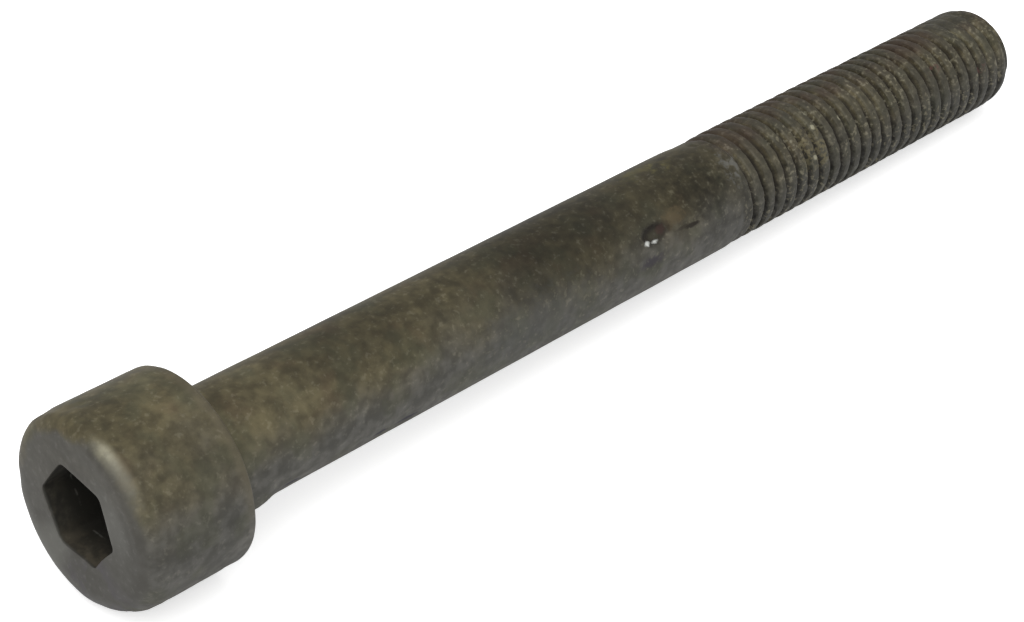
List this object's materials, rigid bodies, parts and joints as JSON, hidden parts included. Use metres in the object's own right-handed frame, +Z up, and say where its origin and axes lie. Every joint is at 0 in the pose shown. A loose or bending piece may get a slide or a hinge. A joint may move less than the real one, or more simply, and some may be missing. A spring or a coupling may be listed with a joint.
{
  "type": "hex socket head cap screw",
  "caption": "Old part-threaded cap screw with a plain round head and a hexagonal socket, lying on its side.",
  "frame": {"origin": "where the screw's axis meets the bearing face under the head", "axes": "+X from the head towards the thread, +Z up. The screw lies on its head's rim and its thread's end, so its axis dips 1.78 degrees below +X"},
  "size_m": [0.088, 0.0128, 0.013],
  "materials": {
    "blackened_steel": "worn black oxide with a brown and olive patina"
  },
  "bodies": {
    "root": {"cap_screw": "blackened_steel"}
  },
  "joints": []
}
